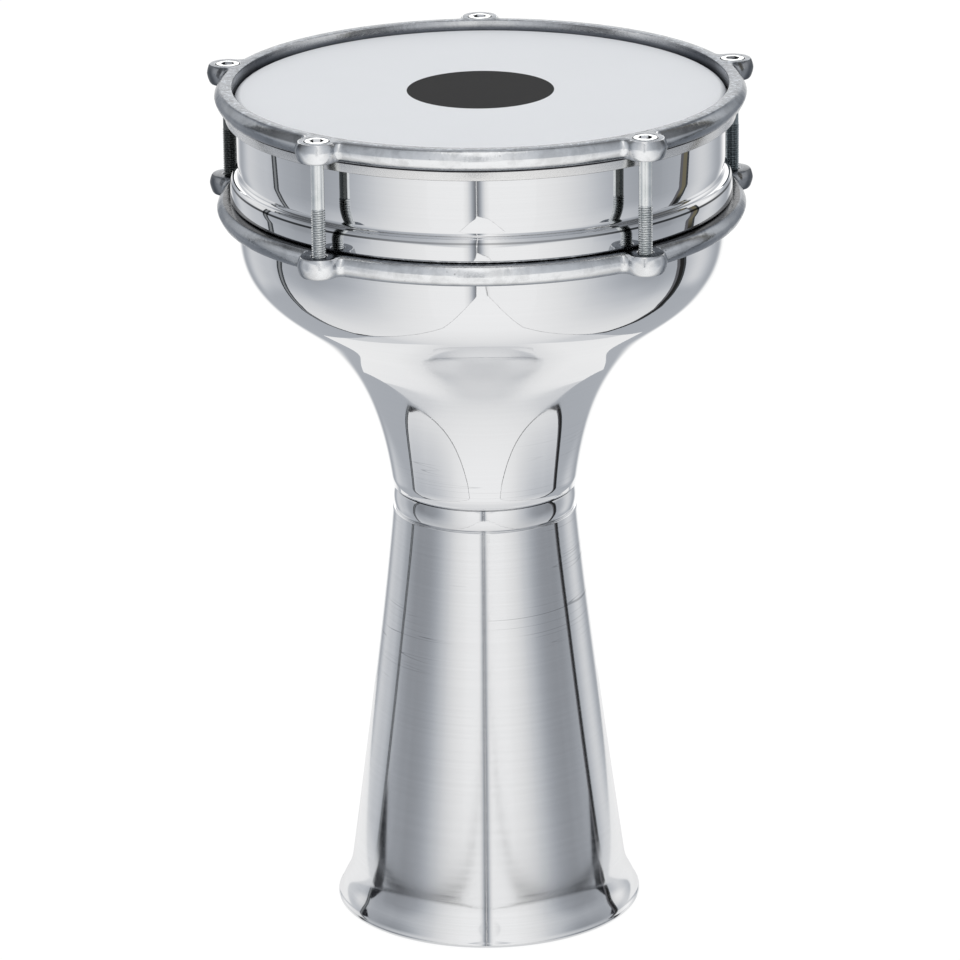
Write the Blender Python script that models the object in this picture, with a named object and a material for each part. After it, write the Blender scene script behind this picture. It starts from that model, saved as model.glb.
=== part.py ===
# Goblet drum: two turned aluminium shells, a cast ring hooked under the bowl's bead,
# a cast hoop that five screws pull down on the head's flesh hoop, and a film head.
# Metres, +Z up, the origin on the drum's axis at the foot's underside, one ear at +Y.

import math

import bmesh
import bpy

# How finely round things are cut
TURN_STEPS = 60
SCREW_STEPS = 18
BORE_STEPS = 24

# Gap between pieces that touch on the real drum
SEAT_GAP = 0.0003

# Spun sheet of both shells
WALL = 0.0018

# Foot shell: rolled rim, flared lip, slender cone and the neck's rounded collar
RIM_RADIUS = 0.0658
RIM_HEIGHT = 0.0025
RIM_FLAT = 0.0016
RIM_STEP = 0.0008
LIP_HEIGHT = 0.0180
LIP_PULL_TOP = 0.0060
LIP_PULL_RIM = 0.0074
LIP_LEAN_TOP = math.radians(7.6)
LIP_LEAN_RIM = math.radians(19.7)
CONE_RADIUS = 0.0592
CONE_CURVE = 1.13
NECK_RADIUS = 0.0394
GROOVE_HEIGHT = 0.1790
GROOVE_DEPTH = 0.0012
GROOVE_ROUND = 0.0008
COLLAR_HEIGHT = 0.0091
COLLAR_BULGE = 0.0008
COLLAR_WALL = 0.0014
COLLAR_STEP = 0.0010

# Bowl shell: spigot inside the collar, trumpet curve, bead, straight band, bearing edge
SPIGOT_LENGTH = 0.0202
BOWL_LEAN = math.radians(7.3)
BOWL_FOOT_PULL = 0.786
BOWL_SHOULDER_PULL = 0.408
SHOULDER_DROP = 0.0145
BAND_RADIUS = 0.1024
BAND_HEIGHT = 0.0437
BEAD_DEPTH = 0.0031
BEAD_ROUND = 0.0020
BEAD_FLAT = 0.0029
BEAD_CROWN = 0.0095
COVE_ROUND = 0.0019
EDGE_HEIGHT = 0.3609
EDGE_ROUND = 0.0026
EDGE_LIP = 0.0013

# Film head: its shoulder, and the skirt that flares out below it
FILM_THICKNESS = 0.0003
SKIRT_FLARE = 0.0014
SKIRT_DROP = 0.0019
SKIRT_END = 0.0014

# Flesh hoop: the open channel that the film's skirt runs down into
CHANNEL_GAP = 0.0006
CHANNEL_WIDTH = 0.0038
CHANNEL_HEIGHT = 0.0045
CHANNEL_WALL = 0.0018
CHANNEL_FLOOR = 0.0008
CHANNEL_LIP = 0.0016
CHANNEL_LIP_WALL = 0.0006

# Cast ring and hoop: a draft both ways from the parting line, and round ears
EARS = 5
EAR_REACH = 0.0099
CAST_HEIGHT = 0.0084
CAST_PARTING = 0.0046
CAST_TOP_WIDTH = 0.0064
CAST_WIDTH = 0.0088
CAST_FOOT_WIDTH = 0.0066
EAR_TOP_RADIUS = 0.0079
EAR_WIDEST = 0.0090
EAR_FOOT_RADIUS = 0.0077
EAR_BLEND = 0.0030
RING_GAP = 0.0005
HOOP_RISE = 0.0035
HOOP_GAP = 0.0006
HOOP_EASE = 0.0006
HOOP_LIP_DEPTH = 0.0052
HOOP_RECESS = 0.0015

# Tension screws: thread, plain shank and socket head, and their holes in the ears
TIP_INSET = 0.0005
THREAD_RADIUS = 0.00295
THREAD_LENGTH = 0.0270
SHANK_RADIUS = 0.00268
TIP_CHAMFER = 0.0006
HEAD_RADIUS = 0.0050
HEAD_HEIGHT = 0.0060
HEAD_CHAMFER = 0.0004
SOCKET_FLATS = 0.0050
SOCKET_DEPTH = 0.0030
EAR_FLOOR = 0.0021
HOLE_GAP = 0.0003
MOUTH_CHAMFER = 0.0005
CUT_OVERRUN = 0.0020

# Heights and radii that follow from the sizes above
COLLAR_TOP = GROOVE_HEIGHT + COLLAR_HEIGHT
COLLAR_RADIUS = NECK_RADIUS - GROOVE_DEPTH
COLLAR_BORE = COLLAR_RADIUS - COLLAR_WALL
SPIGOT_RADIUS = COLLAR_BORE - SEAT_GAP
BOWL_FOOT = COLLAR_TOP + SEAT_GAP
BEAD_HEIGHT = EDGE_HEIGHT - BAND_HEIGHT
SHOULDER_HEIGHT = BEAD_HEIGHT - SHOULDER_DROP
FILM_TOP = EDGE_HEIGHT + SEAT_GAP + FILM_THICKNESS
EDGE_CENTRE = (BAND_RADIUS - EDGE_ROUND, EDGE_HEIGHT - EDGE_ROUND)
SKIRT_BORE = BAND_RADIUS + SEAT_GAP
RING_FOOT = BEAD_HEIGHT - SEAT_GAP - CAST_HEIGHT
RING_BORE = BAND_RADIUS + RING_GAP
HOOP_FOOT = FILM_TOP + HOOP_RISE - CAST_HEIGHT
HOOP_TOP = HOOP_FOOT + CAST_HEIGHT
HOOP_BORE = SKIRT_BORE + FILM_THICKNESS + HOOP_GAP
CAST_TOP_RADIUS = BAND_RADIUS + CAST_TOP_WIDTH
CAST_WIDEST = BAND_RADIUS + CAST_WIDTH
CAST_FOOT_RADIUS = BAND_RADIUS + CAST_FOOT_WIDTH
SCREW_CIRCLE = BAND_RADIUS + EAR_REACH
CHANNEL_BORE = BAND_RADIUS + CHANNEL_GAP
CHANNEL_FOOT = HOOP_FOOT - SEAT_GAP - CHANNEL_HEIGHT
HEAD_SEAT = HOOP_FOOT + EAR_FLOOR
SCREW_LENGTH = HEAD_SEAT + SEAT_GAP - RING_FOOT - TIP_INSET
THREAD_HOLE = THREAD_RADIUS + HOLE_GAP
HEAD_HOLE = HEAD_RADIUS + HOLE_GAP


def clearScene():
    for leftover in list(bpy.data.objects):
        bpy.data.objects.remove(leftover, do_unlink=True)


def metal(name, colour, roughness):
    material = bpy.data.materials.new(name)
    material.use_nodes = True
    shader = material.node_tree.nodes["Principled BSDF"]
    shader.inputs["Base Color"].default_value = (*colour, 1.0)
    shader.inputs["Roughness"].default_value = roughness
    shader.inputs["Metallic"].default_value = 1.0
    return material


def film(name, colour, roughness):
    material = metal(name, colour, roughness)
    material.node_tree.nodes["Principled BSDF"].inputs["Metallic"].default_value = 0.0
    return material


# An outline is a list of (radius, height) points, worked out by the next three functions

def arc(centre, radius, start, end, steps):
    points = []
    for step in range(steps + 1):
        angle = math.radians(start + (end - start) * step / steps)
        points.append((centre[0] + radius * math.cos(angle), centre[1] + radius * math.sin(angle)))
    return points


def bezier(start, pullStart, pullEnd, end, steps):
    points = []
    for step in range(steps + 1):
        t = step / steps
        weights = ((1 - t) ** 3, 3 * t * (1 - t) ** 2, 3 * t * t * (1 - t), t ** 3)
        controls = (start, pullStart, pullEnd, end)
        points.append(tuple(sum(w * c[axis] for w, c in zip(weights, controls)) for axis in (0, 1)))
    return points


def inset(points, depth):
    # The inner side of a sheet whose outer side runs upwards through these points
    moved = []
    for index, (radius, height) in enumerate(points):
        before = points[max(index - 1, 0)]
        after = points[min(index + 1, len(points) - 1)]
        run = math.dist(before, after)
        moved.append((radius - depth * (after[1] - before[1]) / run,
                      height + depth * (after[0] - before[0]) / run))
    return moved


def circle(radius, height, steps):
    turns = [math.tau * step / steps for step in range(steps)]
    return [(radius * math.cos(turn), radius * math.sin(turn), height) for turn in turns]


def hexagon(flats, height, steps):
    # The points of a circle, drawn in to a hexagon's sides
    side = math.tau / 6
    loop = []
    for step in range(steps):
        turn = math.tau * step / steps
        reach = flats / 2 / math.cos(turn % side - side / 2)
        loop.append((reach * math.cos(turn), reach * math.sin(turn), height))
    return loop


def loft(name, loops, hollow):
    # Joins loops of as many points each: round to the first loop again, or with an end face at each end
    mesh = bpy.data.meshes.new(name)
    build = bmesh.new()
    rings = [[build.verts.new(point) for point in loop] for loop in loops]
    pairs = list(zip(rings, rings[1:]))
    if hollow:
        pairs.append((rings[-1], rings[0]))
    else:
        build.faces.new(rings[0])
        build.faces.new(rings[-1])
    count = len(loops[0])
    for lower, upper in pairs:
        for index in range(count):
            after = (index + 1) % count
            build.faces.new((lower[index], lower[after], upper[after], upper[index]))
    bmesh.ops.recalc_face_normals(build, faces=build.faces)
    if build.calc_volume(signed=True) < 0:
        bmesh.ops.reverse_faces(build, faces=build.faces)
    build.to_mesh(mesh)
    build.free()
    mesh.shade_smooth()
    mesh.set_sharp_from_angle(angle=math.radians(30))
    return mesh


def turned(name, outline, steps=TURN_STEPS, hollow=True):
    return loft(name, [circle(radius, height, steps) for radius, height in outline], hollow)


def place(name, mesh, material, location=(0, 0, 0)):
    piece = bpy.data.objects.new(name, mesh)
    piece.location = location
    if material:
        mesh.materials.clear()
        mesh.materials.append(material)
    bpy.context.scene.collection.objects.link(piece)
    return piece


def cut(piece, name, mesh, location=(0, 0, 0)):
    cutter = place(name, mesh, None, location)
    cutter.hide_render = True
    cutter.display_type = 'WIRE'
    boolean = piece.modifiers.new(name, 'BOOLEAN')
    boolean.operation = 'DIFFERENCE'
    boolean.solver = 'EXACT'
    boolean.object = cutter


def earAngles():
    # The first ear is at the back, and the others follow it anticlockwise
    return [math.tau / 4 + math.tau * index / EARS for index in range(EARS)]


def footShell(material):
    rimCentre = (RIM_RADIUS - RIM_HEIGHT / 2, RIM_HEIGHT / 2)
    rim = arc(rimCentre, RIM_HEIGHT / 2, -90, 40, 3)
    lipFoot = (RIM_RADIUS - RIM_STEP, RIM_HEIGHT)
    lipTop = (CONE_RADIUS, LIP_HEIGHT)
    pullFoot = (lipFoot[0] - LIP_PULL_RIM * math.sin(LIP_LEAN_RIM),
                lipFoot[1] + LIP_PULL_RIM * math.cos(LIP_LEAN_RIM))
    pullTop = (lipTop[0] + LIP_PULL_TOP * math.sin(LIP_LEAN_TOP),
               lipTop[1] - LIP_PULL_TOP * math.cos(LIP_LEAN_TOP))
    lip = bezier(lipFoot, pullFoot, pullTop, lipTop, 4)
    coneTop = GROOVE_HEIGHT - GROOVE_ROUND
    cone = []
    for step in range(1, 6):
        share = 1 - step / 5
        radius = NECK_RADIUS + (CONE_RADIUS - NECK_RADIUS) * share ** CONE_CURVE
        cone.append((radius, coneTop - (coneTop - LIP_HEIGHT) * share))
    groove = arc((NECK_RADIUS - GROOVE_ROUND, coneTop), GROOVE_ROUND, 45, 90, 1)
    collar = []
    for step in range(5):
        bulge = COLLAR_BULGE * math.sin(math.pi * step / 4)
        collar.append((COLLAR_RADIUS + bulge, GROOVE_HEIGHT + COLLAR_HEIGHT * step / 4))
    bore = [(COLLAR_BORE, COLLAR_TOP), (COLLAR_BORE, GROOVE_HEIGHT - WALL)]
    inside = inset([*lip, *cone], WALL)
    inside[-1] = (NECK_RADIUS - WALL, GROOVE_HEIGHT - WALL - COLLAR_STEP)
    inside[0] = (rimCentre[0] - RIM_FLAT, 0)
    outline = [*rim, *lip, *cone, *groove, *collar, *bore, *reversed(inside)]
    return place("foot_shell", turned("foot_shell", outline), material)


def bowlShell(material):
    spigotFoot = COLLAR_TOP - SPIGOT_LENGTH
    bend = arc((NECK_RADIUS - WALL, BOWL_FOOT + WALL), WALL, -90, 0, 3)
    start = bend.pop()
    shoulder = (BAND_RADIUS, SHOULDER_HEIGHT)
    rise = SHOULDER_HEIGHT - start[1]
    pullStart = (start[0] + rise * BOWL_FOOT_PULL * math.sin(BOWL_LEAN),
                 start[1] + rise * BOWL_FOOT_PULL * math.cos(BOWL_LEAN))
    pullEnd = (BAND_RADIUS, SHOULDER_HEIGHT - rise * BOWL_SHOULDER_PULL)
    bowl = bezier(start, pullStart, pullEnd, shoulder, 12)
    beadRadius = BAND_RADIUS + BEAD_DEPTH
    beadFoot = arc((beadRadius - BEAD_ROUND, BEAD_HEIGHT + BEAD_ROUND), BEAD_ROUND, -90, 0, 2)
    crownFoot = BEAD_HEIGHT + BEAD_ROUND + BEAD_FLAT
    crownTurn = math.acos(1 - (BEAD_DEPTH - COVE_ROUND) / BEAD_CROWN)
    crown = arc((beadRadius - BEAD_CROWN, crownFoot), BEAD_CROWN, 0, math.degrees(crownTurn), 2)
    coveTop = crown[-1][1] + COVE_ROUND
    cove = arc((BAND_RADIUS + COVE_ROUND, coveTop), COVE_ROUND, -90, -180, 2)[1:]
    edge = arc(EDGE_CENTRE, EDGE_ROUND, 0, 90, 3)
    lip = EDGE_CENTRE[0] - EDGE_LIP
    edgeInside = arc(EDGE_CENTRE, EDGE_ROUND - WALL, 90, 0, 1)
    bore = BAND_RADIUS - WALL
    beadInside = [(bore, coveTop), (beadRadius - WALL, crown[-1][1] - WALL),
                  (beadRadius - WALL, BEAD_HEIGHT + WALL), (bore, BEAD_HEIGHT)]
    inside = inset(bezier(start, pullStart, pullEnd, shoulder, 8), WALL)
    outline = [(SPIGOT_RADIUS, spigotFoot), (SPIGOT_RADIUS, BOWL_FOOT), *bend, *bowl,
               (BAND_RADIUS, BEAD_HEIGHT), *beadFoot, *crown, *cove, *edge,
               (lip, EDGE_HEIGHT), (lip, EDGE_HEIGHT - WALL), *edgeInside, *beadInside,
               *reversed(inside), (SPIGOT_RADIUS - WALL, BOWL_FOOT), (SPIGOT_RADIUS - WALL, spigotFoot)]
    return place("bowl_shell", turned("bowl_shell", outline), material)


def headFilm(material):
    flareFoot = EDGE_CENTRE[1] - SKIRT_DROP
    skirtFoot = flareFoot - SKIRT_END
    skirtBore = SKIRT_BORE + SKIRT_FLARE
    skirt = [(skirtBore + FILM_THICKNESS, flareFoot), (skirtBore + FILM_THICKNESS, skirtFoot),
             (skirtBore, skirtFoot), (skirtBore, flareFoot)]
    outside = arc(EDGE_CENTRE, EDGE_ROUND + SEAT_GAP + FILM_THICKNESS, 90, 0, 4)
    inside = arc(EDGE_CENTRE, EDGE_ROUND + SEAT_GAP, 0, 90, 4)
    mesh = turned("head_film", [*outside, *skirt, *inside], hollow=False)
    return place("head_film", mesh, material)


def fleshHoop(material):
    outer = CHANNEL_BORE + CHANNEL_WIDTH
    floor = CHANNEL_FOOT + CHANNEL_FLOOR
    lipTop = CHANNEL_FOOT + CHANNEL_FLOOR + CHANNEL_LIP - CHANNEL_LIP_WALL
    outline = [(CHANNEL_BORE, CHANNEL_FOOT), (outer, CHANNEL_FOOT),
               (outer, CHANNEL_FOOT + CHANNEL_HEIGHT), (outer - CHANNEL_WALL, CHANNEL_FOOT + CHANNEL_HEIGHT),
               (outer - CHANNEL_WALL, floor), (CHANNEL_BORE + CHANNEL_LIP_WALL, floor),
               (CHANNEL_BORE + CHANNEL_LIP_WALL, lipTop), (CHANNEL_BORE, lipTop)]
    return place("flesh_hoop", turned("flesh_hoop", outline), material)


def earedLoop(ring, ear, height):
    # Ring, concave blend, round ear and blend again, once for each ear
    reach = ring + EAR_BLEND
    turn = math.acos((reach ** 2 + SCREW_CIRCLE ** 2 - (ear + EAR_BLEND) ** 2) / (2 * SCREW_CIRCLE * reach))
    blendCentre = (reach * math.cos(turn), reach * math.sin(turn))
    swing = math.degrees(math.atan2(blendCentre[1], blendCentre[0] - SCREW_CIRCLE))
    blend = arc(blendCentre, EAR_BLEND, swing - 180, math.degrees(turn) - 180, 3)
    half = [*arc((SCREW_CIRCLE, 0), ear, 0, swing, 4), *blend[1:]]
    gap = math.pi / EARS - turn
    half += arc((0, 0), ring, math.degrees(turn), math.degrees(turn + gap), 5)[1:]
    pattern = [(x, -y) for x, y in reversed(half[1:-1])] + half
    loop = []
    for angle in earAngles():
        along, across = math.cos(angle), math.sin(angle)
        loop += [(x * along - y * across, x * across + y * along, height) for x, y in pattern]
    return loop


def castBlank(name, foot):
    loops = [earedLoop(CAST_FOOT_RADIUS, EAR_FOOT_RADIUS, foot),
             earedLoop(CAST_WIDEST, EAR_WIDEST, foot + CAST_PARTING),
             earedLoop(CAST_TOP_RADIUS, EAR_TOP_RADIUS, foot + CAST_HEIGHT)]
    return loft(name, loops, False)


def cutHoles(piece, outline):
    # The same hole in every ear
    for index, angle in enumerate(earAngles(), 1):
        name = f"{piece.name}_hole_{index}"
        spot = (SCREW_CIRCLE * math.cos(angle), SCREW_CIRCLE * math.sin(angle), 0)
        cut(piece, name, turned(name, outline, BORE_STEPS, False), spot)


def lowerRing(material):
    top = RING_FOOT + CAST_HEIGHT
    ring = place("lower_ring", castBlank("lower_ring", RING_FOOT), material)
    bore = [(RING_BORE, RING_FOOT - CUT_OVERRUN), (RING_BORE, top + CUT_OVERRUN)]
    cut(ring, "lower_ring_bore", turned("lower_ring_bore", bore, TURN_STEPS, False))
    mouth = THREAD_HOLE + MOUTH_CHAMFER + CUT_OVERRUN
    cutHoles(ring, [(mouth, RING_FOOT - CUT_OVERRUN), (THREAD_HOLE, RING_FOOT + MOUTH_CHAMFER),
                    (THREAD_HOLE, top - MOUTH_CHAMFER), (mouth, top + CUT_OVERRUN)])
    return ring


def upperHoop(material):
    hoop = place("upper_hoop", castBlank("upper_hoop", HOOP_FOOT), material)
    ledge = HOOP_TOP - HOOP_LIP_DEPTH
    bore = [(HOOP_BORE + HOOP_RECESS, HOOP_FOOT - CUT_OVERRUN), (HOOP_BORE + HOOP_RECESS, ledge),
            (HOOP_BORE, ledge), (HOOP_BORE, HOOP_TOP - HOOP_EASE),
            (HOOP_BORE + HOOP_EASE + CUT_OVERRUN, HOOP_TOP + CUT_OVERRUN)]
    cut(hoop, "upper_hoop_bore", turned("upper_hoop_bore", bore, TURN_STEPS, False))
    cutHoles(hoop, [(THREAD_HOLE, HOOP_FOOT - CUT_OVERRUN), (THREAD_HOLE, HEAD_SEAT),
                    (HEAD_HOLE, HEAD_SEAT), (HEAD_HOLE, HOOP_TOP + CUT_OVERRUN)])
    return hoop


def tensionScrews(material):
    # One screw in each ear, each turning about its own upright axis
    threadTop = THREAD_LENGTH - SCREW_LENGTH
    outline = [(THREAD_RADIUS - TIP_CHAMFER, -SCREW_LENGTH), (THREAD_RADIUS, TIP_CHAMFER - SCREW_LENGTH),
               (THREAD_RADIUS, threadTop), (SHANK_RADIUS, threadTop + THREAD_RADIUS - SHANK_RADIUS),
               (SHANK_RADIUS, 0), (HEAD_RADIUS, 0), (HEAD_RADIUS, HEAD_HEIGHT - HEAD_CHAMFER),
               (HEAD_RADIUS - HEAD_CHAMFER, HEAD_HEIGHT)]
    loops = [circle(radius, height, SCREW_STEPS) for radius, height in outline]
    loops += [hexagon(SOCKET_FLATS, HEAD_HEIGHT, SCREW_STEPS),
              hexagon(SOCKET_FLATS, HEAD_HEIGHT - SOCKET_DEPTH, SCREW_STEPS)]
    mesh = loft("tension_screw", loops, False)
    for index, angle in enumerate(earAngles(), 1):
        spot = (SCREW_CIRCLE * math.cos(angle), SCREW_CIRCLE * math.sin(angle), HEAD_SEAT + SEAT_GAP)
        place(f"tension_screw_{index}", mesh, material, spot)


clearScene()
polishedAluminium = metal("polished_aluminium", (0.84, 0.85, 0.87), 0.18)
castAluminium = metal("cast_aluminium", (0.72, 0.73, 0.74), 0.35)
brushedAluminium = metal("brushed_aluminium", (0.78, 0.79, 0.80), 0.30)
zincSteel = metal("zinc_steel", (0.62, 0.64, 0.63), 0.28)
whiteFilm = film("white_film", (0.66, 0.68, 0.71), 0.45)
bowlShell(polishedAluminium)
footShell(polishedAluminium)
lowerRing(castAluminium)
upperHoop(castAluminium)
fleshHoop(brushedAluminium)
headFilm(whiteFilm)
tensionScrews(zincSteel)
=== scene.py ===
import math

import bmesh
import bpy
from mathutils import Matrix, Vector, noise


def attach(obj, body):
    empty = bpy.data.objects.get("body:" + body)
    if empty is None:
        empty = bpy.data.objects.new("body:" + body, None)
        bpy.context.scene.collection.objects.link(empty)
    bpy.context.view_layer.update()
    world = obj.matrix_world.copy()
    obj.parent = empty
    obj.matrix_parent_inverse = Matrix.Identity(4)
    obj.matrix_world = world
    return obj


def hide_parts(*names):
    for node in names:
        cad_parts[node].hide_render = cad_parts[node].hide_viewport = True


# Goblet drum dressed for rendering. Metres, +Z up, the same frame as the solids.

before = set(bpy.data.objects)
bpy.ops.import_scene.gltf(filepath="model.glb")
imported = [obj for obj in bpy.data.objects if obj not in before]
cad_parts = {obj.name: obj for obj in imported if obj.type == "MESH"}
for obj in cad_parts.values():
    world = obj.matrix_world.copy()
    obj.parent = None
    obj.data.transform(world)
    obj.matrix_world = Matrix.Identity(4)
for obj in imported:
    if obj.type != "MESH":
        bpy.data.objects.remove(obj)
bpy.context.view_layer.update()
print("frame loaded:", len(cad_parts), "solids")


def addNode(tree, kind, values=None, **settings):
    node = tree.nodes.new(kind)
    for key, value in settings.items():
        setattr(node, key, value)
    for socket, value in (values or {}).items():
        if isinstance(value, bpy.types.NodeSocket):
            tree.links.new(value, node.inputs[socket])
        else:
            node.inputs[socket].default_value = value
    return node


def made(tree, kind, values=None, **settings):
    # the first output of a new node
    return addNode(tree, kind, values, **settings).outputs[0]


def treeOf(*values):
    # the tree that the first socket among these stands in
    return next(value.id_data for value in values if isinstance(value, bpy.types.NodeSocket))


def maths(operation, *values):
    # a Math node, fed with numbers or sockets
    return made(treeOf(*values), "ShaderNodeMath", dict(enumerate(values)), operation=operation)


def plus(first, second):
    return maths('ADD', first, second)


def minus(first, second):
    return maths('SUBTRACT', first, second)


def times(first, *others):
    for other in others:
        first = maths('MULTIPLY', first, other)
    return first


def over(first, second):
    return maths('DIVIDE', first, second)


def absolute(value):
    return maths('ABSOLUTE', value)


def fade(value, start, end, low=0.0, high=1.0):
    # low before start, high after end, and a soft slope between them
    return made(value.id_data, "ShaderNodeMapRange", {"Value": value, "From Min": start, "From Max": end,
                                                      "To Min": low, "To Max": high}, interpolation_type='SMOOTHSTEP')


def within(value, start, full, stop, end):
    # one from full to stop, and nothing before start or after end
    return times(fade(value, start, full), fade(value, end, stop))


def mixColours(share, first, second, blend='MIX'):
    return addNode(treeOf(share, first, second), "ShaderNodeMix", {0: share, 6: first, 7: second},
                   data_type='RGBA', blend_type=blend).outputs[2]


def dimmed(colour, factor):
    return mixColours(1.0, colour, factor, 'MULTIPLY')


def opaque(colour, share=1.0):
    # three numbers as a full colour, times a share
    return (*[part * share for part in colour], 1)


def grey(tone):
    return (tone, tone, tone, 1)


def ramp(value, stops, interpolation='LINEAR'):
    node = addNode(value.id_data, "ShaderNodeValToRGB", {0: value})
    band = node.color_ramp
    band.interpolation = interpolation
    while len(band.elements) > 1:
        band.elements.remove(band.elements[-1])
    for index, (place, tone) in enumerate(stops):
        element = band.elements[0] if index == 0 else band.elements.new(place)
        element.position = place
        element.color = opaque(tone) if isinstance(tone, tuple) else grey(tone)
    return node.outputs[0]


def lengthRamp(value, stops, reach):
    # a ramp whose places are lengths, up to reach
    return ramp(over(value, reach), [(place / reach, tone) for place, tone in stops])


def coordinate(tree, kind="Object"):
    return addNode(tree, "ShaderNodeTexCoord").outputs[kind]


def split(vector):
    return addNode(vector.id_data, "ShaderNodeSeparateXYZ", {0: vector}).outputs


def slantOf(tree):
    return addNode(tree, "ShaderNodeLayerWeight", {"Blend": 0.5}).outputs["Facing"]


camera = {
    "place": (0.0, -2.2029, 0.9430),
    "pitch": 18.889,    # degrees below level
    "yaw": -0.0522,
    "roll": -0.6464,
    "focal": 5445.3,    # in pixels of the frame
    "frame": 960,
    "sensor": 36,
    "clip": (0.05, 60),
}


def setCamera():
    pitch, yaw, roll = (math.radians(camera[key]) for key in ("pitch", "yaw", "roll"))
    ahead = Vector((math.sin(yaw) * math.cos(pitch), math.cos(yaw) * math.cos(pitch), -math.sin(pitch)))
    right = Vector((math.cos(yaw), -math.sin(yaw), 0))
    up = right.cross(ahead)
    across = right * math.cos(roll) + up * math.sin(roll)
    above = up * math.cos(roll) - right * math.sin(roll)
    lens = bpy.data.cameras.new("camera")
    lens.sensor_width = camera["sensor"]
    lens.lens = camera["sensor"] * camera["focal"] / camera["frame"]
    lens.clip_start, lens.clip_end = camera["clip"]
    body = bpy.data.objects.new("camera", lens)
    body.matrix_world = Matrix.Translation(camera["place"]) @ Matrix((across, above, -ahead)).transposed().to_4x4()
    bpy.context.scene.collection.objects.link(body)
    bpy.context.scene.camera = body
    bpy.context.scene.view_settings.view_transform = 'Standard'


studio = {
    # light of the room behind and above the cards, by degrees from the front: minus is left
    "room": [(-180, 1.05), (-168, 1.0), (-155, 0.42), (-140, 0.66), (-122, 0.58), (-106, 0.42), (-60, 0.50),
             (-14, 0.80), (14, 0.80), (60, 0.50), (104, 0.46), (126, 0.70), (150, 0.42), (164, 1.0), (180, 1.05)],
    "upper": (0, 9, 1.45),              # brighter above the horizon: where it starts and is full, by how much
    "ground": (-24, -32, 0.46),         # beyond the table: where it starts and is full, light
    "dome": (26, 40, 1.02),             # overhead light: where it starts and is full, light
    # the same as metal mirrors it
    "domeMirrored": [(-180, 0.55), (-150, 0.28), (-110, 0.13), (-70, 0.30), (-35, 0.90), (0, 1.02),
                     (35, 0.90), (70, 0.30), (110, 0.13), (150, 0.28), (180, 0.55)],
    "shade": (0.92, 0.97, 1.05),        # tint of the dim parts
    "shadeLevels": (0.35, 0.9),
    "floor": {"half": 9, "drop": 0.0002, "white": 0.92, "glow": 1.06, "glowShare": 0.86},

    # the white cards stand beside the drum on its table: (across, along, height of the top)
    "cards": [(0.187, 0.016, 0.75), (0.160, -0.066, 0.75), (0.130, -0.165, 0.75), (0.102, -0.270, 0.85),
              (0.094, -0.530, 1.10), (0.078, -0.800, 1.35), (0.052, -1.050, 1.50)],
    "meet": (-0.050, -1.255, 1.60),     # where they nearly touch, in front
    "slit": 0.0035,
    "bottom": -0.005,                   # height of the table's sheet and the cards' feet
    # how far ahead of its first spot a card's rear edge stands, by height, and what binds the edge
    "lean": [(-0.005, 0.010), (0.06, 0.014), (0.10, 0.018), (0.12, 0.023), (0.15, 0.032), (0.18, 0.038),
             (0.20, 0.047), (0.23, 0.053), (0.27, 0.058), (0.30, 0.057), (0.33, 0.050), (0.37, 0.046), (0.75, 0.046)],
    "left": {"shift": -0.009, "binding": (0.0, 0.004, 0.009, 0.013), "inner": (0.05, 0.055, 0.06, 1),
             "lining": (0.22, 0.23, 0.24, 1), "liningLow": (0.22, 0.23, 0.24, 1)},
    "right": {"shift": 0.002, "binding": (0.0, 0.006, 0.015, 0.020), "inner": (0.12, 0.12, 0.13, 1),
              "lining": (0.16, 0.145, 0.10, 1), "liningLow": (0.02, 0.02, 0.02, 1)},
    "liningChange": (0.285, 0.300),     # the lining is the low one below this height
    "bindingEdge": (0.05, 0.055, 0.06, 1),

    # the cards' light by distance in front of the drum's axis, and a painted gloss from the table at a slant
    "paper": [(0.010, 0.17), (0.035, 0.26), (0.055, 0.34), (0.085, 0.36), (0.115, 0.41), (0.150, 0.50),
              (0.190, 0.63), (0.230, 0.74), (0.275, 0.82), (0.350, 0.90), (0.500, 0.96)],
    "paperReach": 0.6,
    "paperGloss": [(0.02, 0.0), (0.10, 0.28), (0.25, 0.55), (0.42, 0.74), (0.60, 0.85), (1.0, 0.95)],
    "glossTone": 0.93,
    # the same above the drum's top
    "paperHigh": [(0.02, 0.10), (0.08, 0.13), (0.12, 0.28), (0.15, 0.40), (0.20, 0.48), (0.33, 0.62),
                  (0.75, 0.85), (1.3, 1.0)],
    "paperHighReach": 1.3,
    "paperChange": (0.345, 0.380),
    "upperRear": (0.22, 0.27, 0.78),    # the cards' rear ends are dimmer above this height
    "upperRearDepth": (0.11, 0.06),
    # dimmer towards the place where the two meet, by the distance from it
    "meeting": [(0.0, 0.20), (0.020, 0.28), (0.035, 0.42), (0.060, 0.70), (0.085, 0.88), (0.125, 1.0)],
    "meetingReach": 0.2,
    # painted shade along the cards' feet, in the crease where they meet the table, which widens into a wedge at the
    # rear
    "seam": 0.0030, "wedge": (-0.025, 0.010, 0.032), "seamShadeColour": (0.02, 0.02, 0.022, 1),

    "table": [(0.174, 0.290), (0.176, 0.016)],
    # the table's light, with a painted shadow that darkens it near the drum, in front and at the centre behind
    "tableFrontShaded": [(0.030, 0.70), (0.080, 0.80), (0.150, 0.87), (0.250, 0.93), (0.400, 0.95)],
    "tableRearShaded": (0.080, 0.045, 0.105, 0.78, 0.90),     # starts here; from near to far across, light near and far
    "tableRearCurve": (3.0, 150.0),
    # how much the table mirrors at a slant, far and near, and from where
    "tableGloss": [(0.70, 0.0), (0.74, 0.18), (0.77, 0.65), (0.80, 0.90), (1.0, 1.0)],
    "tableGlossNear": [(0.55, 0.0), (0.66, 0.95), (1.0, 1.0)],
    "tableGlossChange": (0.30, 0.45), "tableGlossRear": 0.005, "tableMirror": (0.98, 0.03),
}


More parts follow.
